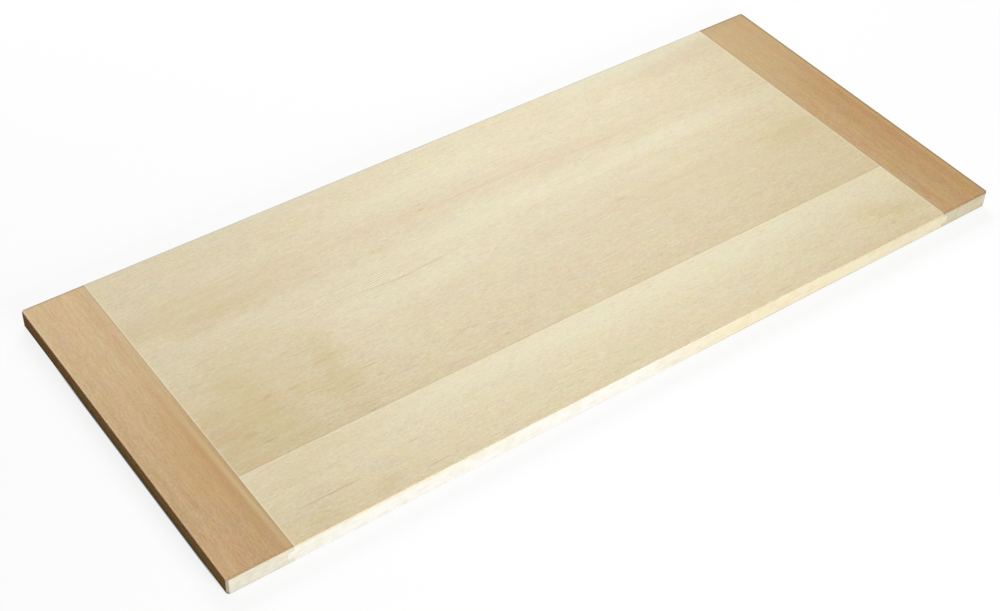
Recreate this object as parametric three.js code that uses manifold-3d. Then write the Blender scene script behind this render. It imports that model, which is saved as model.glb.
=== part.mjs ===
// Noodle cutting board: three planks glued edge to edge, held flat by a grooved cap on each end.
// Millimetres, +Z up. X runs along the board, and Y runs across it from the front edge to the back.
// The origin is the middle of the underside.
import * as THREE from "three";
import { mergeVertices } from "three/addons/utils/BufferGeometryUtils.js";
import Module from "manifold-3d";

const wasm = await Module();
wasm.setup();

// Driving dimensions
const boardLength = 700;
const boardWidth = 300;
const boardThickness = 15;
const endCapWidth = 50; // along X, from the joint to the outer end
const frontPlankWidth = 71.5;
const backPlankWidth = 110;
const tongueLength = 5; // past the plank's shoulder
const tongueThickness = 6; // in the middle of the board's thickness
const tongueTipGap = 0.5; // room for spare glue at the bottom of the groove
const glueThickness = 0.2; // cured film between two glued faces
const cornerChamfer = 1.5; // on the four upright corners
const edgeChamfer = 0.8; // on the top and bottom edges all the way round
const planingAllowance = 2; // extra on the rough pieces, taken off when the glued board is finished

// Places worked out from the driving dimensions
const halfLength = boardLength / 2;
const halfWidth = boardWidth / 2;
const capFace = halfLength - endCapWidth; // inner face of the right cap
const shoulder = capFace - glueThickness; // right shoulder of the planks
const tongueTip = shoulder + tongueLength;
const grooveBottom = tongueTip + tongueTipGap;
const tongueLow = (boardThickness - tongueThickness) / 2;
const tongueHigh = tongueLow + tongueThickness;
const grooveLow = tongueLow - glueThickness;
const grooveHigh = tongueHigh + glueThickness;
const frontJoint = -halfWidth + frontPlankWidth; // where the front plank ends
const middleStart = frontJoint + glueThickness;
const backStart = halfWidth - backPlankWidth;
const middleEnd = backStart - glueThickness;

// Faces of the rough pieces before planing
const roughBottom = -planingAllowance;
const roughTop = boardThickness + planingAllowance;
const roughEnd = halfLength + planingAllowance;
const roughFront = -halfWidth - planingAllowance;
const roughBack = halfWidth + planingAllowance;

// Finishes
const paleWood = { color: 0xe5dab9, roughness: 0.62, metalness: 0 };
const tanWood = { color: 0xc6a377, roughness: 0.58, metalness: 0 };
const curedGlue = { color: 0xd8c48f, roughness: 0.45, metalness: 0 };

// A closed three.js geometry as a solid that can be cut.
function toSolid(geometry) {
  const bare = geometry.clone();
  bare.deleteAttribute("normal");
  bare.deleteAttribute("uv");
  const merged = mergeVertices(bare);
  return new wasm.Manifold(
    new wasm.Mesh({
      numProp: 3,
      vertProperties: new Float32Array(merged.attributes.position.array),
      triVerts: new Uint32Array(merged.index.array),
    }),
  );
}

// A cut solid as a three.js geometry again.
function toGeometry(solid) {
  const mesh = solid.getMesh();
  const geometry = new THREE.BufferGeometry();
  geometry.setAttribute("position", new THREE.BufferAttribute(mesh.vertProperties, 3));
  geometry.setIndex(new THREE.BufferAttribute(mesh.triVerts, 1));
  const faceted = geometry.toNonIndexed();
  faceted.computeVertexNormals();
  return faceted;
}

// An outline of (x, z) points, drawn out across the board from yFrom to yTo.
function acrossBoard(outline, yFrom, yTo) {
  const shape = new THREE.Shape(outline.map(([x, z]) => new THREE.Vector2(x, z)));
  const geometry = new THREE.ExtrudeGeometry(shape, { depth: yTo - yFrom, bevelEnabled: false });
  geometry.rotateX(Math.PI / 2); // the drawing's up becomes +Z, and its depth runs to the front
  geometry.translate(0, yTo, 0);
  return toSolid(geometry);
}

// The finished board as one shape: its plan with cut corners, and its top and bottom edges eased.
function boardEnvelope() {
  const x = halfLength;
  const y = halfWidth;
  const c = cornerChamfer;
  const plan = new THREE.Shape();
  plan.moveTo(-x + c, -y);
  plan.lineTo(x - c, -y);
  plan.lineTo(x, -y + c);
  plan.lineTo(x, y - c);
  plan.lineTo(x - c, y);
  plan.lineTo(-x + c, y);
  plan.lineTo(-x, y - c);
  plan.lineTo(-x, -y + c);
  plan.closePath();
  const geometry = new THREE.ExtrudeGeometry(plan, {
    depth: boardThickness - 2 * edgeChamfer,
    bevelThickness: edgeChamfer,
    bevelSize: edgeChamfer,
    bevelOffset: -edgeChamfer,
    bevelSegments: 1,
  });
  geometry.translate(0, 0, edgeChamfer);
  return toSolid(geometry);
}

const envelope = boardEnvelope();

// Side view of a plank: a shoulder and a tongue at each end.
const plankOutline = [
  [-shoulder, roughBottom],
  [shoulder, roughBottom],
  [shoulder, tongueLow],
  [tongueTip, tongueLow],
  [tongueTip, tongueHigh],
  [shoulder, tongueHigh],
  [shoulder, roughTop],
  [-shoulder, roughTop],
  [-shoulder, tongueHigh],
  [-tongueTip, tongueHigh],
  [-tongueTip, tongueLow],
  [-shoulder, tongueLow],
];

// Side view of an end cap, grooved for the tongues. side is 1 on the right and -1 on the left.
function capOutline(side) {
  const right = [
    [capFace, roughBottom],
    [roughEnd, roughBottom],
    [roughEnd, roughTop],
    [capFace, roughTop],
    [capFace, grooveHigh],
    [grooveBottom, grooveHigh],
    [grooveBottom, grooveLow],
    [capFace, grooveLow],
  ];
  return right.map(([x, z]) => [side * x, z]);
}

// Side view of the glue that fills the joint between the planks' ends and a cap.
function capGlueOutline(side) {
  const right = [
    [shoulder, roughBottom],
    [capFace, roughBottom],
    [capFace, grooveLow],
    [grooveBottom, grooveLow],
    [grooveBottom, grooveHigh],
    [capFace, grooveHigh],
    [capFace, roughTop],
    [shoulder, roughTop],
    [shoulder, tongueHigh],
    [tongueTip, tongueHigh],
    [tongueTip, tongueLow],
    [shoulder, tongueLow],
  ];
  return right.map(([x, z]) => [side * x, z]);
}

// A rough piece planed down to the finished board's outer faces.
function finishedPiece(name, outline, yFrom, yTo, finish) {
  const solid = acrossBoard(outline, yFrom, yTo).intersect(envelope);
  const mesh = new THREE.Mesh(toGeometry(solid), new THREE.MeshStandardMaterial(finish));
  mesh.name = name;
  return mesh;
}

const board = new THREE.Group();
board.name = "noodle_cutting_board";

// Panel: three planks and the glue between them
board.add(finishedPiece("front_plank", plankOutline, roughFront, frontJoint, paleWood));
board.add(finishedPiece("front_glue_line", plankOutline, frontJoint, middleStart, curedGlue));
board.add(finishedPiece("middle_plank", plankOutline, middleStart, middleEnd, paleWood));
board.add(finishedPiece("back_glue_line", plankOutline, middleEnd, backStart, curedGlue));
board.add(finishedPiece("back_plank", plankOutline, backStart, roughBack, paleWood));

// Ends: a cap and its glued joint on each side
for (const [end, side] of [["left", -1], ["right", 1]]) {
  board.add(finishedPiece(`${end}_end_cap`, capOutline(side), roughFront, roughBack, tanWood));
  board.add(finishedPiece(`${end}_glue_joint`, capGlueOutline(side), roughFront, roughBack, curedGlue));
}

export default board;
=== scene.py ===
import math

import bmesh
import bpy
from mathutils import Matrix, Vector


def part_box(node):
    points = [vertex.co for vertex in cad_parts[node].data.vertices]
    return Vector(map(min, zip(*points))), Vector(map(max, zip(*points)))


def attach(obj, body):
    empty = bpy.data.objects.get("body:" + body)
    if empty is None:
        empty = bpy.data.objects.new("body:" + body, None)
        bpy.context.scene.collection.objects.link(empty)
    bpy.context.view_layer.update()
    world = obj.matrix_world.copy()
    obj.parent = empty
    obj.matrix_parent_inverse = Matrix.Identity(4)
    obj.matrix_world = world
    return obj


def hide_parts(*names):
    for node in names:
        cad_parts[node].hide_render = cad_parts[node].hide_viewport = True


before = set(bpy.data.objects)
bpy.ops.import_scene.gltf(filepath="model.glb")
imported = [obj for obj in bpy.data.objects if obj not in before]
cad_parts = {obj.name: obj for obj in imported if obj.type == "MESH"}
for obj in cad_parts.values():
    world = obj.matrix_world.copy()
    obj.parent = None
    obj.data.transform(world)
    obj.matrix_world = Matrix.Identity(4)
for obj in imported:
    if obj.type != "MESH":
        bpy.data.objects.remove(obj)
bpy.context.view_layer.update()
print("frame loaded with", len(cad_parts), "pieces")

mm = 0.001
tiny = 0.01 * mm  # closer than this counts as the same place


# Lowest and highest z of a node's right-hand tip
def tipHeights(node):
    points = [vertex.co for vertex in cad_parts[node].data.vertices]
    tip = max(point.x for point in points)
    heights = [point.z for point in points if tip - point.x < tiny]
    return min(heights), max(heights)


# Sizes of the board in metres, all from the frame
capLow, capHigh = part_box("right_end_cap")
jointLow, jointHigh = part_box("right_glue_joint")
halfLength, halfWidth, thickness = capHigh
capFace = capLow.x
shoulder = jointLow.x
grooveBottom = jointHigh.x
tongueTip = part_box("front_plank")[1].x
tongueLow, tongueHigh = tipHeights("front_plank")
grooveLow, grooveHigh = tipHeights("right_glue_joint")

# The same in millimetres, for the finishes
endAt, edgeAt, topAt = halfLength / mm, halfWidth / mm, thickness / mm
shoulderAt, capFaceAt = shoulder / mm, capFace / mm


# A shader socket that can be used in Python sums
class Wire:
    def __init__(self, tree, socket=None):
        self.tree = tree
        self.socket = socket

    # Any node: its settings are set first, then its sockets get values or wires
    def node(self, kind, settings, inputs, output=None):
        made = self.tree.nodes.new(kind)
        for key, value in settings.items():
            setattr(made, key, value)
        for key, value in inputs.items():
            socket = next(s for s in made.inputs if s.identifier == key)
            if isinstance(value, Wire):
                self.tree.links.new(value.socket, socket)
            else:
                socket.default_value = value
        outputs = [s for s in made.outputs if output in (None, s.identifier)]
        return Wire(self.tree, outputs[0] if outputs else None)

    def math(self, operation, first, second=0.0):
        values = {"Value": first, "Value_001": second}
        return self.node("ShaderNodeMath", {"operation": operation}, values)

    def __add__(self, other):
        return self.math("ADD", self, other)

    def __radd__(self, other):
        return self.math("ADD", other, self)

    def __sub__(self, other):
        return self.math("SUBTRACT", self, other)

    def __rsub__(self, other):
        return self.math("SUBTRACT", other, self)

    def __mul__(self, other):
        return self.math("MULTIPLY", self, other)

    def __rmul__(self, other):
        return self.math("MULTIPLY", other, self)

    def __truediv__(self, other):
        return self.math("DIVIDE", self, other)

    def __abs__(self):
        return self.math("ABSOLUTE", self)


# A colour given as sRGB numbers from 0 to 255, in the linear form that shaders take
def tint(red, green, blue):
    shares = [value / 255 for value in (red, green, blue)]
    return [s / 12.92 if s <= 0.04045 else ((s + 0.055) / 1.055) ** 2.4 for s in shares] + [1.0]


# Noise with lumps of the given length, width and depth in millimetres, evenly above and below 0
def lumps(point, size, detail=2.0, roughness=0.5, turn=0.0):
    sockets = {"Vector": point, "Rotation": (0, 0, math.radians(turn)), "Scale": size}
    scaled = point.node("ShaderNodeMapping", {"vector_type": "TEXTURE"}, sockets)
    sockets = {"Vector": scaled, "Scale": 1.0, "Detail": detail, "Roughness": roughness}
    return point.node("ShaderNodeTexNoise", {}, sockets, "Fac") - 0.5


# 0 below low and 1 above high, with a soft step between; low above high turns it round
def step(value, low, high):
    sockets = {"Value": value, "From Min": low, "From Max": high}
    return value.node("ShaderNodeMapRange", {"interpolation_type": "SMOOTHSTEP"}, sockets, "Result")


# A soft spot, 1 about its middle and 0 at the given half sizes, turned in plan by degrees
def spot(point, at, size, turn=0.0):
    sockets = {"Vector": point, "Location": at, "Rotation": (0, 0, math.radians(turn)), "Scale": size}
    local = point.node("ShaderNodeMapping", {"vector_type": "TEXTURE"}, sockets)
    inside = point.node("ShaderNodeTexGradient", {"gradient_type": "SPHERICAL"}, {"Vector": local}, "Fac")
    return step(inside, 0.0, 0.8)  # full over its inner fifth


# Blends two colours, each of them a wire or a tone as tint takes it
def blend(first, second, share, way="MIX"):
    first, second = [tint(*c) if isinstance(c, tuple) else c for c in (first, second)]
    settings = {"data_type": "RGBA", "blend_type": way}
    sockets = {"Factor_Float": share, "A_Color": first, "B_Color": second}
    return share.node("ShaderNodeMix", settings, sockets, "Result_Color")


def parts(vector):
    return [vector.node("ShaderNodeSeparateXYZ", {}, {"Vector": vector}, axis) for axis in "XYZ"]


def vectorOf(x, y, z):
    return x.node("ShaderNodeCombineXYZ", {}, {"X": x, "Y": y, "Z": z})


# Starts a finish: its material, and the place on the board in millimetres
def startFinish(name):
    material = bpy.data.materials.new(name)
    material.use_nodes = True
    material.node_tree.nodes.clear()
    bench = Wire(material.node_tree)
    place = bench.node("ShaderNodeTexCoord", {}, {}, "Object")
    place = bench.node("ShaderNodeVectorMath", {"operation": "SCALE"}, {"Vector": place, "Scale": 1 / mm})
    return material, place


# The way that the surface faces: along, across and up
def facings(place):
    return parts(place.node("ShaderNodeTexCoord", {}, {}, "Normal"))


# Ends a finish with the shader that all the board's surfaces share
def endFinish(colour, roughness, height, bumpDepth, gloss):
    sockets = {"Height": height, "Strength": 1.0, "Distance": bumpDepth * mm}
    normal = height.node("ShaderNodeBump", {}, sockets)
    sockets = {
        "Base Color": colour,
        "Roughness": roughness,
        "Normal": normal,
        "Specular IOR Level": gloss,
    }
    shader = height.node("ShaderNodeBsdfPrincipled", {}, sockets)
    height.node("ShaderNodeOutputMaterial", {}, {"Surface": shader})


# Red, green and blue drift apart a little in patches of the given size
def driftHue(colour, point, size, amount):
    scaled = point.node("ShaderNodeMapping", {"vector_type": "TEXTURE"}, {"Vector": point, "Scale": size})
    sockets = {"Vector": scaled, "Scale": 1.0, "Detail": 2.0, "Roughness": 0.6}
    noise = point.node("ShaderNodeTexNoise", {}, sockets, "Color")
    middle = {"Vector": noise, "Vector_001": (0.5, 0.5, 0.5)}
    even = point.node("ShaderNodeVectorMath", {"operation": "SUBTRACT"}, middle)
    drift = point.node("ShaderNodeVectorMath", {"operation": "SCALE"}, {"Vector": even, "Scale": amount})
    sockets = {"Vector": colour, "Vector_001": drift}
    return point.node("ShaderNodeVectorMath", {"operation": "ADD"}, sockets)


markDepth = 20  # millimetres that a mark reaches down into the wood


# The soft spot of a mark on the top
def markSpot(point, mark):
    x, y = mark["at"]
    return spot(point, (x, y, topAt), mark["size"] + (markDepth,), mark.get("turn", 0))


# Colours marks that a piece has in one place, such as a stain or a dark streak
def addMarks(colour, loose, patchy, marks):
    for mark in marks:
        share = markSpot(loose, mark) * patchy * mark["share"]
        colour = blend(colour, mark["tone"], share)
    return colour


# Bands, growth lines, streaks, fibres and speckles of a wood, and the tone that they add up to
def grainOf(wood, fibreWay, grain):
    look = {
        "band": lumps(fibreWay, wood["bandSize"], 3.0),
        "line": lumps(fibreWay, wood["lineSize"]),
        "streak": lumps(fibreWay, wood["streakSize"], 2.0, 0.6),
        "fibre": lumps(fibreWay, wood["fibreSize"], 3.0, 0.65),
        "speckle": lumps(grain, wood["speckleSize"]),
    }
    tone = look["band"] * wood["bandShare"]
    for kind in ("line", "streak", "fibre", "speckle"):
        tone = tone + look[kind] * wood[kind + "Share"]
    look["tone"] = tone
    return look


upward = (0.1, 0.4)  # how far up a surface faces, from where it begins to count as the top
midline = (-10, 10)  # the change from the near half of the board to the far half


# Shapes: an outline of (x, z) points drawn out across the board, with its outer edges eased
easing = {
    "corner": 1.5 * mm,  # flats on the four upright corners
    "arris": 0.8 * mm,  # rounds along the outer edges of the top and bottom
    "arrisSteps": 4,
    "crease": 50,  # degrees, from where an edge stays sharp
    "square": 0.01,  # how far off level or upright a face may be
}
bevel = {
    "offset_type": "OFFSET",
    "profile": 0.5,
    "affect": "EDGES",
    "material": -1,
    "clamp_overlap": True,
}


def isOuter(face):
    middle = face.calc_center_median()
    inset = easing["corner"]
    return abs(middle.x) > halfLength - inset or abs(middle.y) > halfWidth - inset


def drawnAcross(outline, yFrom, yTo):
    shape = bmesh.new()
    shape.faces.new([shape.verts.new((x, yFrom, z)) for x, z in outline])
    grown = bmesh.ops.extrude_face_region(shape, geom=shape.faces[:])
    moved = [part for part in grown["geom"] if isinstance(part, bmesh.types.BMVert)]
    bmesh.ops.translate(shape, verts=moved, vec=(0, yTo - yFrom, 0))
    bmesh.ops.recalc_face_normals(shape, faces=shape.faces[:])
    return shape


def easeEdges(shape):
    corners = []
    for edge in shape.edges:
        first, last = [vertex.co for vertex in edge.verts]
        upright = (first - last).to_2d().length < tiny
        if upright and abs(first.x) > halfLength - tiny and abs(first.y) > halfWidth - tiny:
            corners.append(edge)
    if corners:
        bmesh.ops.bevel(shape, geom=corners, offset=easing["corner"], segments=1, **bevel)
    shape.normal_update()
    arrises = []
    for edge in shape.edges:
        height = edge.verts[0].co.z
        flat = [face for face in edge.link_faces if abs(face.normal.z) > 1 - easing["square"]]
        upright = [face for face in edge.link_faces if abs(face.normal.z) < easing["square"]]
        onFace = height < tiny or height > thickness - tiny
        if flat and onFace and any(isOuter(face) for face in upright):
            arrises.append(edge)
    steps = easing["arrisSteps"]
    rounded = bmesh.ops.bevel(shape, geom=arrises, offset=easing["arris"], segments=steps, **bevel)
    for face in rounded["faces"]:
        face.smooth = True
    for edge in shape.edges:
        edge.smooth = edge.calc_face_angle(0) < math.radians(easing["crease"])


def addPiece(name, node, outline, yFrom, yTo, finish):
    shape = drawnAcross(outline, yFrom, yTo)
    easeEdges(shape)
    mesh = bpy.data.meshes.new(name)
    shape.to_mesh(mesh)
    shape.free()
    mesh.materials.append(finish)
    piece = bpy.data.objects.new(name, mesh)
    bpy.context.scene.collection.objects.link(piece)
    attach(piece, "root")
    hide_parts(node)
    print("made", name, "with", len(mesh.polygons), "faces")


# Planks: pale wood with its grain along the board. Sizes and places are in millimetres.
# A pair such as (1.6, 0.4) is where a change starts and where it is full.
paleWood = {
    "pale": (229, 220, 188),
    "warm": (203, 181, 140),
    "wander": 14.0,  # how far the grain strays sideways
    "wanderSize": (260, 70, 40),
    "bandShare": 0.14,  # broad bands along the grain
    "bandSize": (420, 22, 22),
    "flameShare": 0.12,  # soft streaks a hand long
    "flameSize": (110, 9, 9),
    "lineShare": 0.10,  # long growth lines
    "lineSize": (700, 2.6, 2.6),
    "streakShare": 0.18,  # short streaks
    "streakSize": (40, 1.3, 1.3),
    "fibreShare": 0.90,
    "fibreSize": (10, 0.8, 0.8),
    "mottleShare": 0.10,  # soft patches
    "mottleSize": (13, 8, 10),
    "mottleTurn": 35,
    "speckleShare": 0.80,
    "speckleSize": (2.4, 1.4, 1.4),
    "hueDrift": 0.075,
    "hueSize": (24, 12, 12),
    "rippleStray": 5.0,  # how far the fine growth lines stray from straight
    "rippleSize": (90, 40, 40),
    "stainStray": (40.0, 20.0),  # how far the grain pushes a stain's outline, along and across
    "stainPatchy": 2.5,
    "streakStray": 1.5,
    "poreShare": 0.22,
    "poreSize": (7, 0.7, 0.7),
    "poreLevel": (0.14, 0.26),
    "fleckTone": (150, 124, 88),
    "fleckShare": 0.36,
    "fleckSize": (24, 0.7, 0.7),
    "fleckSoft": 0.08,
    "fleckFewer": 0.05,  # added to the plank's level towards its far edge
    "groupShare": 0.3,  # flecks come in groups
    "groupSize": (60, 14, 20),
    # a pale line at the plank's ends: painted highlight
    "jointTone": (248, 228, 190),
    "jointShare": 0.28,
    "jointWidth": (1.6, 0.4),
    "seamWidth": (2.2, 0.6),
    "rimTone": (194, 194, 184),  # painted shade along the far edge
    "rimShare": 0.8,
    "rimWidth": (2.2, 1.0),
    # the near-white of the sawn long edges is partly their own tone and partly painted glare
    "edgeTone": (236, 235, 230),
    "edgeShare": 0.9,
    "edgeFacing": (0.6, 0.95),
    "edgeRight": (234, 224, 195),  # the long edges are creamier to the right, where the painted glare fades
    "edgeTurn": (-40, 90),
    "edgeFar": (232, 219, 186),
    "edgeStain": (244, 238, 222),
    "edgeBase": 0.15,
    "edgeMottle": 2.6,
    "edgeStreak": 2.0,
    "edgeFibre": 1.2,
    "lipTone": (234, 227, 196),  # just under the top arris, to the left
    "lipShare": 0.6,
    "lipDepth": (4.5, 1.5),
    "lipTurn": (-60, -200),
    "footShade": (182, 172, 146),  # painted shade in a thin line along the bottom, to the right
    "footShare": 0.75,
    "footHeight": (1.6, 0.8),
    "footTurn": (0, 90),
    "wornTone": (198, 177, 134),  # the near arris, towards its ends
    "wornShare": 0.5,
    "wornRight": (110, 240),
    "wornLeft": (-160, -260),
    "wornLess": 0.6,  # of the left end against the right one
    "wornDepth": (2.2, 0.8),
    "wornWidth": (1.4, 0.5),
    "roughness": 0.42,
    "gloss": 0.13,
    "bumpDepth": 0.04,
}
frontPlank = {
    "name": "frontPlank",
    "node": "front_plank",
    "nearTone": 0.50,
    "farTone": 0.10,
    "leftTone": (0.14, -140, -280),  # added towards the left end, from where to where
    "rightTone": (0.14, 120, 290),
    "shift": (310, 0, 40),  # so that no two planks share their grain
    "fleckLevel": 0.21,
    "farSeamHighlight": ((241, 227, 190), 0.2),  # tone and share of a painted highlight beside the joint to the next plank
    "marks": [
        {"tone": (236, 232, 202), "at": (60, -90), "size": (400, 22), "share": 0.2},
        {"tone": (208, 186, 138), "at": (-235, -90), "size": (110, 22), "share": 0.18},
        {"tone": (196, 178, 122), "at": (-272, -142), "size": (16, 10), "share": 0.25},
        {"tone": (196, 178, 122), "at": (-222, -142), "size": (13, 10), "turn": 20, "share": 0.25},
        {"tone": (198, 180, 122), "at": (262, -120), "size": (44, 10), "turn": -18, "share": 0.28},
    ],
    "streaks": [
        {"tone": (150, 122, 86), "at": (-256, -125), "size": (32, 0.7), "share": 0.32},
        {"tone": (150, 122, 86), "at": (-180, -142), "size": (13, 0.7), "share": 0.42},
        {"tone": (160, 128, 92), "at": (135, -144.4), "size": (14, 1.2), "share": 0.25},
        {"tone": (170, 130, 92), "at": (259, -135.3), "size": (5, 1.6), "share": 0.3},
    ],
}
middlePlank = {
    "name": "middlePlank",
    "node": "middle_plank",
    "nearTone": 0.56,
    "farTone": 0.24,
    "leftTone": (0.22, -120, -250),
    "rightTone": (0.22, 150, 290),
    "shift": (-900, 55, 130),
    "fleckLevel": 0.18,
    "nearSeam": ((170, 150, 112), 0.14),
    "marks": [
        {"tone": (188, 166, 130), "at": (20, -74), "size": (420, 12), "share": 0.04},
        {"tone": (200, 179, 120), "at": (-257, -36), "size": (26, 76), "turn": 4, "share": 0.38},
        {"tone": (200, 179, 120), "at": (-192, -24), "size": (17, 60), "turn": -4, "share": 0.38},
        {"tone": (196, 165, 106), "at": (-290, -44), "size": (26, 48), "share": 0.36},
        {"tone": (198, 180, 124), "at": (268, -5), "size": (50, 20), "turn": 4, "share": 0.32},
        {"tone": (212, 194, 138), "at": (-245, 5), "size": (80, 60), "share": 0.2},
        {"tone": (204, 182, 118), "at": (-214, -38), "size": (11, 34), "turn": 35, "share": 0.26},
        {"tone": (204, 182, 118), "at": (-240, -64), "size": (16, 20), "share": 0.22},
        {"tone": (202, 178, 116), "at": (-277, -62), "size": (20, 22), "share": 0.18},
        {"tone": (236, 236, 206), "at": (-130, 14), "size": (80, 22), "share": 0.11},
        {"tone": (236, 236, 206), "at": (-58, 14), "size": (50, 16), "share": 0.15},
        {"tone": (220, 202, 156), "at": (180, -5), "size": (170, 44), "share": 0.22},
        {"tone": (232, 222, 192), "at": (270, -55), "size": (70, 34), "share": 0.1},
        {"tone": (206, 188, 160), "at": (110, -8), "size": (260, 50), "share": 0.14},
        {"tone": (190, 160, 122), "at": (22, 6), "size": (7, 12), "share": 0.16},
        {"tone": (196, 160, 124), "at": (-112, -24), "size": (6, 16), "share": 0.14},
    ],
    "streaks": [
        {"tone": (182, 146, 102), "at": (-116, 27.5), "size": (44, 1.0), "turn": -4, "share": 0.28},
        {"tone": (182, 146, 102), "at": (-72, 28), "size": (44, 1.0), "turn": 4, "share": 0.28},
        {"tone": (150, 124, 88), "at": (-191, -51.5), "size": (12, 0.8), "share": 0.34},
        {"tone": (150, 124, 88), "at": (-171, -38.5), "size": (10, 0.8), "share": 0.32},
        {"tone": (150, 124, 88), "at": (-84, -47.7), "size": (6, 0.9), "share": 0.34},
        {"tone": (150, 124, 88), "at": (-269, 29), "size": (10, 0.8), "share": 0.3},
        {"tone": (160, 120, 80), "at": (-168, -50), "size": (4, 1.5), "share": 0.26},
        {"tone": (160, 120, 80), "at": (-68.5, -67.5), "size": (4.5, 1.8), "share": 0.26},
        {"tone": (182, 140, 88), "at": (-246, -25), "size": (7, 3), "turn": 20, "share": 0.3},
        {"tone": (182, 140, 88), "at": (-226, -28), "size": (7, 2), "share": 0.24},
        {"tone": (182, 140, 88), "at": (-275, -50), "size": (9, 3.5), "share": 0.26},
    ],
    "ripples": [
        {"at": (-122, 34), "size": (135, 10), "turn": 4.5, "pitch": 2.1, "share": 0.34},
        {"at": (155, -65), "size": (60, 12), "turn": 0, "pitch": 2.4, "share": 0.16},
    ],
}
backPlank = {
    "name": "backPlank",
    "node": "back_plank",
    "nearTone": 0.28,
    "farTone": 0.32,
    "leftTone": (0.20, 60, -200),
    "rightTone": (0.20, 170, 290),
    "shift": (1500, -80, 210),
    "fleckLevel": 0.25,
    "marks": [
        {"tone": (234, 229, 200), "at": (20, 51), "size": (420, 13), "share": 0.2},
        {"tone": (240, 236, 208), "at": (60, 44), "size": (420, 8), "share": 0.14},
        {"tone": (204, 190, 160), "at": (292, 90), "size": (22, 90), "share": 0.15},
        {"tone": (214, 182, 150), "at": (40, 80), "size": (260, 18), "turn": -2, "share": 0.24},
        {"tone": (204, 184, 156), "at": (262, 128), "size": (120, 18), "share": 0.28},
        {"tone": (216, 228, 206), "at": (215, 142), "size": (120, 18), "share": 0.22},
        {"tone": (204, 204, 182), "at": (-145, 144), "size": (100, 14), "share": 0.2},
        {"tone": (236, 236, 206), "at": (-20, 112), "size": (150, 24), "share": 0.15},
        {"tone": (236, 236, 208), "at": (10, 57), "size": (110, 24), "share": 0.1},
        {"tone": (236, 236, 212), "at": (205, 50), "size": (90, 20), "share": 0.1},
        {"tone": (240, 238, 222), "at": (290, 147), "size": (50, 7), "share": 0.15},
        {"tone": (206, 182, 126), "at": (-248, 80), "size": (76, 30), "share": 0.3},
        {"tone": (208, 180, 136), "at": (-190, 78), "size": (70, 26), "share": 0.18},
        {"tone": (208, 166, 120), "at": (-292, 86), "size": (22, 18), "share": 0.18},
    ],
    "streaks": [
        {"tone": (150, 112, 72), "at": (-44, 83), "size": (4.5, 1.6), "share": 0.3},
        {"tone": (182, 146, 112), "at": (10, 81), "size": (50, 1.1), "turn": -1, "share": 0.2},
        {"tone": (182, 146, 112), "at": (70, 79), "size": (40, 1.0), "turn": -3, "share": 0.2},
        {"tone": (182, 146, 112), "at": (125, 74), "size": (44, 1.0), "turn": -1, "share": 0.2},
    ],
}


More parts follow.
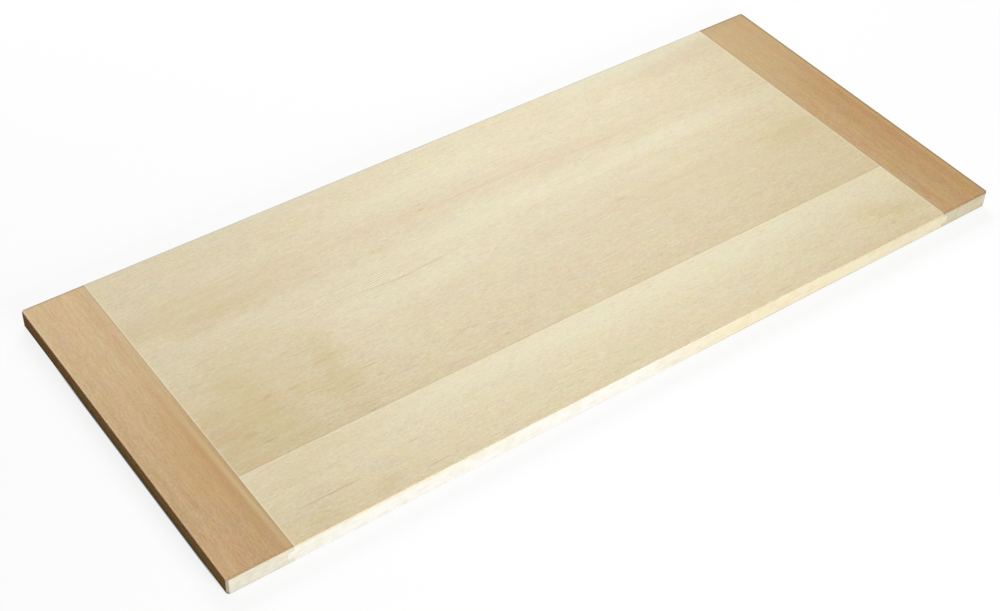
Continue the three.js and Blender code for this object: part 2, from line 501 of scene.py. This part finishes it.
def plankFinish(plank):
    material, place = startFinish(plank["name"] + "Wood")
    sockets = {"Vector": place, "Vector_001": plank["shift"]}
    grain = place.node("ShaderNodeVectorMath", {"operation": "ADD"}, sockets)
    along, across, up = parts(grain)
    across = across + lumps(grain, paleWood["wanderSize"]) * paleWood["wander"]
    fibreWay = vectorOf(along, across, up)
    look = grainOf(paleWood, fibreWay, grain)
    streak, fibre = look["streak"], look["fibre"]
    flame = lumps(fibreWay, paleWood["flameSize"])
    mottle = lumps(grain, paleWood["mottleSize"], 3.0, 0.6, paleWood["mottleTurn"])

    # tone runs across the plank, from its near edge to its far edge, and is warmer at its ends
    low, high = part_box(plank["node"])
    placeAlong, placeAcross, placeUp = parts(place)
    fromNear, fromFar = placeAcross - low.y / mm, high.y / mm - placeAcross
    nearToFar = fromNear / ((high.y - low.y) / mm)
    tone = plank["nearTone"] + nearToFar * (plank["farTone"] - plank["nearTone"])
    for added, start, full in (plank["leftTone"], plank["rightTone"]):
        tone = tone + step(placeAlong, start, full) * added
    tone = tone + look["tone"] + flame * paleWood["flameShare"] + mottle * paleWood["mottleShare"]

    # fine lines side by side, where the growth rings come up at a low angle
    for ripple in plank.get("ripples", []):
        stray = lumps(place, paleWood["rippleSize"]) * paleWood["rippleStray"]
        wavy = placeAcross - placeAlong * math.tan(math.radians(ripple["turn"])) + stray
        wave = wavy.math("SINE", wavy * (2 * math.pi / ripple["pitch"]))
        tone = tone + wave * markSpot(place, ripple) * ripple["share"]
    colour = blend(paleWood["pale"], paleWood["warm"], tone)
    colour = driftHue(colour, grain, paleWood["hueSize"], paleWood["hueDrift"])

    # stains and dark streaks, with edges that the grain breaks up
    strayAlong, strayAcross = paleWood["stainStray"]
    pushedAlong = placeAlong + (mottle + streak) * strayAlong
    loose = vectorOf(pushedAlong, placeAcross + mottle * strayAcross, placeUp)
    colour = addMarks(colour, loose, 1.0 + flame * paleWood["stainPatchy"], plank["marks"])
    loose = vectorOf(placeAlong, placeAcross + streak * paleWood["streakStray"], placeUp)
    colour = addMarks(colour, loose, 1.0 + streak, plank["streaks"])

    # pores and short dark flecks
    level = plank["fleckLevel"] + nearToFar * paleWood["fleckFewer"]
    group = lumps(grain, paleWood["groupSize"]) * paleWood["groupShare"]
    dash = lumps(fibreWay, paleWood["fleckSize"], 1.0) + group
    fleck = step(dash, level, level + paleWood["fleckSoft"])
    pore = step(lumps(fibreWay, paleWood["poreSize"], 1.0), *paleWood["poreLevel"])
    dark = pore * paleWood["poreShare"] + fleck * paleWood["fleckShare"]
    colour = blend(colour, paleWood["fleckTone"], dark)

    # thin lines where the plank meets the caps and its neighbours: the pale ones are painted highlight,
    # the dark one beside the near seam is a dark joint
    joint = step(shoulderAt - abs(placeAlong), *paleWood["jointWidth"])
    colour = blend(colour, paleWood["jointTone"], joint * paleWood["jointShare"])
    for key, distance in (("nearSeam", fromNear), ("farSeamHighlight", fromFar)):
        if key in plank:
            seamTone, share = plank[key]
            seam = step(distance, *paleWood["seamWidth"])
            colour = blend(colour, seamTone, seam * share)

    # painted shade: greyer along the far arris
    facingAcross, facingUp = facings(place)[1:]
    rim = step(edgeAt - placeAcross, *paleWood["rimWidth"]) * step(facingUp, *upward)
    colour = blend(colour, paleWood["rimTone"], rim * paleWood["rimShare"])

    # the sawn long edges: near-white, partly painted glare that fades to the right and is left off the
    # far edge, with a lip under the top and painted shade in a thin line along the foot
    below = topAt - placeUp
    right = step(placeAlong, *paleWood["edgeTurn"])
    edgeColour = blend(paleWood["edgeTone"], paleWood["edgeRight"], right)
    lip = step(below, *paleWood["lipDepth"]) * step(placeAlong, *paleWood["lipTurn"])
    edgeColour = blend(edgeColour, paleWood["lipTone"], lip * paleWood["lipShare"])
    edgeColour = blend(edgeColour, paleWood["edgeFar"], step(placeAcross, *midline))
    rough = paleWood["edgeBase"] + mottle * paleWood["edgeMottle"]
    rough = rough + streak * paleWood["edgeStreak"] + fibre * paleWood["edgeFibre"]
    edgeColour = blend(edgeColour, paleWood["edgeStain"], rough, "MULTIPLY")
    # painted shade in a thin line along the foot
    foot = step(placeUp, *paleWood["footHeight"]) * step(placeAlong, *paleWood["footTurn"])
    edgeColour = blend(edgeColour, paleWood["footShade"], foot * paleWood["footShare"])
    edge = step(abs(facingAcross), *paleWood["edgeFacing"])
    colour = blend(colour, edgeColour, edge * paleWood["edgeShare"])

    # the near arris, worn towards its ends
    worn = step(placeAlong, *paleWood["wornRight"])
    worn = worn + step(placeAlong, *paleWood["wornLeft"]) * paleWood["wornLess"]
    worn = worn * step(below, *paleWood["wornDepth"])
    worn = worn * step(placeAcross + edgeAt, *paleWood["wornWidth"])
    colour = blend(colour, paleWood["wornTone"], worn * paleWood["wornShare"])

    roughness = paleWood["roughness"] + streak * 0.12 + mottle * 0.08 + fleck * 0.1
    height = fibre * 0.6 + streak * 0.5 - fleck * 0.5 - pore * 0.3
    endFinish(colour, roughness, height, paleWood["bumpDepth"], paleWood["gloss"])
    return material


plankEnd = [
    (shoulder, 0),
    (shoulder, tongueLow),
    (tongueTip, tongueLow),
    (tongueTip, tongueHigh),
    (shoulder, tongueHigh),
    (shoulder, thickness),
]
plankOutline = plankEnd + [(-x, z) for x, z in reversed(plankEnd)]  # a tongue on each end
for plank in [frontPlank, middlePlank, backPlank]:
    low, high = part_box(plank["node"])
    addPiece(plank["name"], plank["node"], plankOutline, low.y, high.y, plankFinish(plank))

# End caps: tan wood with its grain across the board
tanWood = {
    "light": (233, 207, 165),
    "dark": (178, 138, 92),
    "wander": 7.0,
    "wanderSize": (200, 40, 40),
    "bandShare": 0.24,
    "bandSize": (300, 18, 18),
    "lineShare": 0.25,
    "lineSize": (400, 2.4, 2.4),
    "streakShare": 0.29,
    "streakSize": (50, 1.4, 1.4),
    "fibreShare": 0.70,
    "fibreSize": (9, 0.8, 0.8),
    "speckleShare": 0.55,
    "speckleSize": (2.4, 1.4, 1.4),
    "hueDrift": 0.08,
    "hueSize": (26, 12, 12),
    "markStray": 2.0,
    "markPatchy": 2.0,
    "jointTone": (168, 152, 124),
    "heart": (-160, -120),  # middle of the tree, across and up
    "ringWidth": 2.6,
    "ringShare": 0.14,  # of the rings, pores and clouds in the end grain
    "poreShare": 1.1,
    "poreSize": (6, 0.3, 0.3),
    "cloudShare": 1.4,
    "cloudSize": (9, 5, 4),
    "endBase": 0.15,
    "endDrift": 0.18,
    "endDriftSize": (6, 6, 5),
    "endShare": 0.92,
    "endFacing": (0.35, 0.7),
    "endUpright": (0.45, 0.1),
    # warmer far ends, without the painted glare of the near ends
    "endFar": (222, 204, 168),
    "endFarShare": 0.7,
    "endRimShade": (148, 128, 102),  # painted shade along the ends of the cap
    "endRimWidth": (1.8, 0.8),
    "endRimWider": 1.0,  # added at the far end
    "lipDepth": (2.6, 1.2),
    # painted shade in a thin line along the bottom of the ends
    "footShade": (158, 148, 124),
    "footHeight": (1.6, 0.8),
    "sideShare": 0.85,  # the outer side
    "sideFacing": (0.85, 0.98),
    "sideBase": 0.15,
    "sideGrain": 1.2,
    "sideFibre": 0.5,
    "sideLow": 0.3,  # darker towards the bottom
    "sideLowHeight": (8, 1),
    "sideFarTurn": (10, 130),
    # painted shade along the foot of the outer side
    "sideFootShade": (84, 66, 34),
    "sideFootShare": 0.85,
    "sideFootHeight": (3.6, 1.8),
    "sideFootFacing": (0.3, 0.6),
    # painted shade on the corner flats
    "cornerShade": (188, 180, 156),
    "cornerShare": 0.5,
    "cornerFacing": (0.5, 0.65),
    "roughness": 0.5,
    "gloss": 0.01,
    "bumpDepth": 0.05,
}
leftCap = {
    "name": "leftEndCap",
    "node": "left_end_cap",
    "side": -1,
    "shift": (70, 0, 20),
    "outerTone": 0.21,
    "innerTone": 0.25,
    "nearTone": 0.42,  # added at the near end
    # near-white end grain, partly the wood's own tone and partly painted glare
    "endTone": (224, 222, 206),
    "endDark": (204, 197, 177),
    "lip": ((236, 210, 164), 0.45),  # tone and share just under the top arris, at the cap's ends
    # the outer side's deep orange is partly the wood's own tone and partly painted shade
    "sideTone": (240, 179, 80),
    "sideDark": (183, 134, 66),
    "sideFar": ((212, 140, 22), 0.85),  # tone and share towards the far end of the outer side
    "joint": (0.5, 0.02),  # share, and width in parts of the cap
    "rim": ((248, 208, 174), 0.7, 1.0, 1.8),  # outer arris, a painted highlight: tone, share, and widths near and far
    "endRims": (0.35, 0.45),  # shares of the painted shade along the near and far ends
    "footShare": 0.2,  # of the painted shade in a thin line along the bottom of the ends
    "marks": [
        {"tone": (196, 150, 102), "at": (-308, 0), "size": (8, 300), "share": 0.25},
        {"tone": (180, 146, 104), "at": (-309, -90), "size": (7, 110), "share": 0.25},
        {"tone": (216, 192, 146), "at": (-304.1, -60), "size": (3.8, 130), "turn": 1.2, "share": 0.75},
        {"tone": (180, 154, 112), "at": (-301.2, -70), "size": (2.6, 140), "share": 0.4},
        {"tone": (206, 184, 146), "at": (-302, 110), "size": (4.4, 140), "share": 0.45},
        {"tone": (206, 160, 106), "at": (-316, -45), "size": (26, 95), "share": 0.3},
        {"tone": (226, 190, 146), "at": (-346, -138), "size": (16, 40), "share": 0.2},
    ],
}
rightCap = {
    "name": "rightEndCap",
    "node": "right_end_cap",
    "side": 1,
    "shift": (-260, 30, 90),
    "outerTone": 0.82,
    "innerTone": 0.62,
    "nearTone": 0.08,
    # near-white end grain, partly the wood's own tone and partly painted glare
    "endTone": (217, 209, 184),
    "endDark": (194, 184, 154),
    "lip": ((186, 156, 114), 0.7),
    # the outer side's deep orange is partly the wood's own tone and partly painted shade
    "sideTone": (214, 162, 96),
    "sideDark": (186, 128, 74),
    "sideFar": ((196, 140, 76), 0.3),
    "joint": (0.35, 0.06),
    # outer arris, painted shade: tone, share, and widths near and far
    "rim": ((146, 128, 88), 0.8, 2.8, 2.8),
    "endRims": (0.35, 0.85),
    "footShare": 0.6,
    "marks": [
        {"tone": (206, 188, 152), "at": (335, -110), "size": (40, 100), "share": 0.08},
        {"tone": (206, 188, 148), "at": (301, 0), "size": (4, 420), "share": 0.3},
        {"tone": (206, 188, 146), "at": (325, 120), "size": (60, 120), "share": 0.4},
        {"tone": (176, 158, 126), "at": (325, 148), "size": (60, 10), "share": 0.25},
        {"tone": (196, 168, 110), "at": (318, 0), "size": (9, 260), "share": 0.15},
        {"tone": (200, 146, 94), "at": (336, -30), "size": (15, 240), "share": 0.16},
        {"tone": (202, 174, 128), "at": (347, 0), "size": (4, 260), "share": 0.4},
    ],
}


def capFinish(cap):
    material, place = startFinish(cap["name"] + "Wood")
    placeAlong, placeAcross, placeUp = parts(place)
    outward = placeAlong * cap["side"]
    shiftAlong, shiftAcross, shiftUp = cap["shift"]
    along, across, up = placeAcross + shiftAlong, outward + shiftAcross, placeUp + shiftUp
    grain = vectorOf(along, across, up)
    across = across + lumps(grain, tanWood["wanderSize"]) * tanWood["wander"]
    fibreWay = vectorOf(along, across, up)
    look = grainOf(tanWood, fibreWay, grain)
    streak, fibre = look["streak"], look["fibre"]

    # tone runs from the joint to the outer side, and from the far end to the near end
    inToOut = (outward - capFaceAt) / (endAt - capFaceAt)
    farToNear = 0.5 - placeAcross / (2 * edgeAt)
    tone = cap["innerTone"] + inToOut * (cap["outerTone"] - cap["innerTone"])
    tone = tone + farToNear * cap["nearTone"] + look["tone"]
    colour = blend(tanWood["light"], tanWood["dark"], tone)
    colour = driftHue(colour, grain, tanWood["hueSize"], tanWood["hueDrift"])
    loose = vectorOf(placeAlong + streak * tanWood["markStray"], placeAcross, placeUp)
    colour = addMarks(colour, loose, 1.0 + look["band"] * tanWood["markPatchy"], cap["marks"])
    share, wide = cap["joint"]
    joint = step(inToOut, wide, wide * 0.3)
    colour = blend(colour, tanWood["jointTone"], joint * share)

    # end grain, where the fibres come out at the board's long edges; its near-white at the near ends is
    # partly painted glare, and the far ends are warmer
    heartAcross, heartUp = tanWood["heart"]
    sockets = {"Y": across - heartAcross, "Z": up - heartUp}
    fromHeart = place.node("ShaderNodeCombineXYZ", {}, sockets)
    sockets = {"Vector": fromHeart}
    radius = place.node("ShaderNodeVectorMath", {"operation": "LENGTH"}, sockets, "Value")
    ring = radius.math("FRACT", radius / tanWood["ringWidth"])
    ring = step(ring, 0.1, 0.9) - step(ring, 0.9, 1.0)  # darkens slowly, then turns pale at once
    pore = lumps(grain, tanWood["poreSize"], 1.0)
    cloud = lumps(grain, tanWood["cloudSize"])
    endTone = tanWood["endBase"] + ring * tanWood["ringShare"]
    endTone = endTone + pore * tanWood["poreShare"] + cloud * tanWood["cloudShare"]
    endColour = blend(cap["endTone"], cap["endDark"], endTone)
    endColour = driftHue(endColour, grain, tanWood["endDriftSize"], tanWood["endDrift"])
    lipTone, share = cap["lip"]
    lip = step(topAt - placeUp, *tanWood["lipDepth"])
    endColour = blend(endColour, lipTone, lip * share)
    far = step(placeAcross, *midline)
    endColour = blend(endColour, tanWood["endFar"], far * tanWood["endFarShare"])
    # painted shade in a thin line along the bottom of the ends
    foot = step(placeUp, *tanWood["footHeight"])
    endColour = blend(endColour, tanWood["footShade"], foot * cap["footShare"])
    facingAlong, facingAcross, facingUp = facings(place)
    end = step(abs(facingAcross), *tanWood["endFacing"])
    end = end * step(abs(facingUp), *tanWood["endUpright"])
    colour = blend(colour, endColour, end * tanWood["endShare"])

    # the outer side, with painted shade along its foot; its deep orange is partly its own tone and partly
    # painted shade
    facingOut = facingAlong * cap["side"]
    sideTone = tanWood["sideBase"] + (look["line"] + streak) * tanWood["sideGrain"]
    sideTone = sideTone + fibre * tanWood["sideFibre"]
    sideTone = sideTone + step(placeUp, *tanWood["sideLowHeight"]) * tanWood["sideLow"]
    sideColour = blend(cap["sideTone"], cap["sideDark"], sideTone)
    farTone, share = cap["sideFar"]
    sideColour = blend(sideColour, farTone, step(placeAcross, *tanWood["sideFarTurn"]) * share)
    side = step(facingOut, *tanWood["sideFacing"])
    colour = blend(colour, sideColour, side * tanWood["sideShare"])
    # painted shade along the foot of the outer side
    foot = step(placeUp, *tanWood["sideFootHeight"]) * step(facingOut, *tanWood["sideFootFacing"])
    colour = blend(colour, tanWood["sideFootShade"], foot * tanWood["sideFootShare"])

    # corners and arrises: painted shade on the corner flats and along the ends, strongest at the far end,
    # and along the outer arris a painted highlight on the left cap and painted shade on the right cap
    corner = step(abs(facingAlong), *tanWood["cornerFacing"])
    corner = corner * step(abs(facingAcross), *tanWood["cornerFacing"])
    colour = blend(colour, tanWood["cornerShade"], corner * tanWood["cornerShare"])
    above = step(facingUp, *upward)
    # painted shade along the ends, wider and stronger at the far end
    nearShare, farShare = cap["endRims"]
    start, full = tanWood["endRimWidth"]
    endRimShade = step(edgeAt - abs(placeAcross), start + far * tanWood["endRimWider"], full) * above
    share = nearShare + far * (farShare - nearShare)
    colour = blend(colour, tanWood["endRimShade"], endRimShade * share)
    # along the outer arris: a painted highlight on the left cap, painted shade on the right cap
    rimTone, share, nearWide, farWide = cap["rim"]
    wide = farWide + farToNear * (nearWide - farWide)
    rim = step((endAt - outward) / wide, 1.0, 0.5) * above
    colour = blend(colour, rimTone, rim * share)

    roughness = tanWood["roughness"] + streak * 0.12 + end * 0.25
    height = (fibre * 0.6 + streak * 0.5) * (1 - end) + pore * end
    endFinish(colour, roughness, height, tanWood["bumpDepth"], tanWood["gloss"])
    return material


capOutline = [
    (capFace, 0),
    (halfLength, 0),
    (halfLength, thickness),
    (capFace, thickness),
    (capFace, grooveHigh),
    (grooveBottom, grooveHigh),
    (grooveBottom, grooveLow),
    (capFace, grooveLow),
]  # a groove for the tongues in its inner face
for cap in [leftCap, rightCap]:
    outline = [(cap["side"] * x, z) for x, z in capOutline]
    addPiece(cap["name"], cap["node"], outline, -halfWidth, halfWidth, capFinish(cap))

# Glue: thin cured films, which keep the frame's own solids
glue = {
    "films": {
        "front_glue_line": (208, 192, 152),
        "back_glue_line": (234, 226, 196),
        "left_glue_joint": (228, 212, 176),
        "right_glue_joint": (224, 208, 170),
    },
    "amber": (206, 184, 140),
    "amberShare": 0.4,
    "beadSize": (14, 14, 4),
    "beadLevel": (-0.2, 0.2),
    "skinSize": (1.4, 1.4, 1.4),
    "skinRough": 0.2,
    "roughness": 0.45,
    "gloss": 0.2,
    "bumpDepth": 0.02,
}


def glueFinish(node, tone):
    material, place = startFinish(node + "_glue")
    bead = step(lumps(place, glue["beadSize"], 3.0), *glue["beadLevel"])
    skin = lumps(place, glue["skinSize"])
    colour = blend(tone, glue["amber"], bead * glue["amberShare"])
    roughness = glue["roughness"] + skin * glue["skinRough"]
    endFinish(colour, roughness, skin, glue["bumpDepth"], glue["gloss"])
    return material


for node, tone in glue["films"].items():
    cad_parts[node].data.materials.clear()
    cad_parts[node].data.materials.append(glueFinish(node, tone))
print("glue lines finished")

# Floor: white to the eye, dim to the light that it throws back, and it keeps the board's shadow
floorLook = {
    "size": 12.0,
    "drop": 0.2 * mm,
    "white": 0.95,
    "bounce": 0.15,
    "ownLight": 0.86,  # share of plain white about the board; the rest shows the shadow
    "fade": (600, 2000),  # millimetres from the board's middle where the floor turns all white
    "contact": 0.85,  # strength of the shadow close under the caps
    "contactWidth": 0.6,
    "contactFar": (110, 50),  # where it begins and is full, from the far side and the near side
    "contactNear": (-152, -110),
}


def seenRays(bench):
    kinds = ("Is Camera Ray", "Is Glossy Ray", "Is Transmission Ray")
    camera, glossy, through = [bench.node("ShaderNodeLightPath", {}, {}, kind) for kind in kinds]
    return bench.math("MAXIMUM", bench.math("MAXIMUM", camera, glossy), through)


def floorFinish():
    material, place = startFinish("paleFloor")
    along, across = parts(place)[:2]
    sockets = {"Vector": place}
    away = place.node("ShaderNodeVectorMath", {"operation": "LENGTH"}, sockets, "Value")
    own = floorLook["ownLight"] + step(away, *floorLook["fade"]) * (1 - floorLook["ownLight"])
    wide = floorLook["contactWidth"]
    under = step(abs(along) - endAt, wide, wide / 2)
    under = under * step(across, *floorLook["contactFar"]) * step(across, *floorLook["contactNear"])
    own = own * (1 - under * floorLook["contact"])
    white, bounce = floorLook["white"], floorLook["bounce"]
    lit = place.node("ShaderNodeBsdfDiffuse", {}, {"Color": (white, white, white, 1)})
    glow = place.node("ShaderNodeEmission", {}, {"Color": (1, 1, 1, 1), "Strength": 1.0})
    shown = place.node("ShaderNodeMixShader", {}, {"Fac": own, "Shader": lit, "Shader_001": glow})
    dim = place.node("ShaderNodeBsdfDiffuse", {}, {"Color": (bounce, bounce, bounce, 1)})
    sockets = {"Fac": seenRays(place), "Shader": dim, "Shader_001": shown}
    both = place.node("ShaderNodeMixShader", {}, sockets)
    place.node("ShaderNodeOutputMaterial", {}, {"Surface": both})
    return material


sheet = bmesh.new()
bmesh.ops.create_grid(sheet, x_segments=1, y_segments=1, size=floorLook["size"] / 2)
bmesh.ops.translate(sheet, verts=sheet.verts[:], vec=(0, 0, -floorLook["drop"]))
floorMesh = bpy.data.meshes.new("floor")
sheet.to_mesh(floorMesh)
sheet.free()
floorMesh.materials.append(floorFinish())
floor = bpy.data.objects.new("floor", floorMesh)
bpy.context.scene.collection.objects.link(floor)
print("floor laid")

# Light: a low softbox in front, a wide one behind, and a little from all round
softboxes = {
    "frontSoftbox": {
        "at": (-0.12, -1.35, 0.50),
        "aim": (-0.05, -0.12, 0.0),
        "size": (0.5, 0.45),
        "watts": 20.5,
        "mirrored": False,  # it stands low, and would glare off the top from behind
    },
    "backSoftbox": {
        "at": (0.60, 1.40, 1.20),
        "aim": (0.05, 0.05, 0.0),
        "size": (1.5, 0.8),
        "watts": 36.0,
        "mirrored": True,
    },
}
surround = {"fill": 0.12, "seen": 1.0}

for name, box in softboxes.items():
    lamp = bpy.data.lights.new(name, "AREA")
    lamp.shape = "RECTANGLE"
    lamp.size, lamp.size_y = box["size"]
    lamp.energy = box["watts"]
    holder = bpy.data.objects.new(name, lamp)
    holder.location = box["at"]
    toAim = Vector(box["aim"]) - Vector(box["at"])
    holder.rotation_euler = toAim.to_track_quat("-Z", "Y").to_euler()
    holder.visible_camera = False
    holder.visible_glossy = box["mirrored"]
    bpy.context.scene.collection.objects.link(holder)

world = bpy.data.worlds.new("studio")
world.use_nodes = True
world.node_tree.nodes.clear()
air = Wire(world.node_tree)
strength = surround["fill"] + seenRays(air) * (surround["seen"] - surround["fill"])
sky = air.node("ShaderNodeBackground", {}, {"Color": (1, 1, 1, 1), "Strength": strength})
air.node("ShaderNodeOutputWorld", {}, {"Surface": sky})
bpy.context.scene.world = world
print("lights set")

# Camera at the photograph's angle
shot = {
    "azimuth": -37.776,
    "elevation": 43.274,
    "roll": 2.766,
    "aim": (-0.0559, -0.0401, 0.015),
    "distance": 1.3508,
    "lens": 65.60,
    "sensor": 36.0,
}
azimuth, elevation, roll = [math.radians(shot[key]) for key in ("azimuth", "elevation", "roll")]
flat = math.cos(elevation)
back = Vector((math.sin(azimuth) * flat, -math.cos(azimuth) * flat, math.sin(elevation)))
right = Vector((math.cos(azimuth), math.sin(azimuth), 0))
up = back.cross(right)
turned = right * math.cos(roll) + up * math.sin(roll)
lens = bpy.data.cameras.new("camera")
lens.lens = shot["lens"]
lens.sensor_width = shot["sensor"]
camera = bpy.data.objects.new("camera", lens)
bpy.context.scene.collection.objects.link(camera)
pose = Matrix((turned, back.cross(turned), back)).transposed().to_4x4()
pose.translation = Vector(shot["aim"]) + back * shot["distance"]
camera.matrix_world = pose
bpy.context.scene.camera = camera
bpy.context.scene.view_settings.view_transform = "Standard"
print("camera set")

print("scene built")
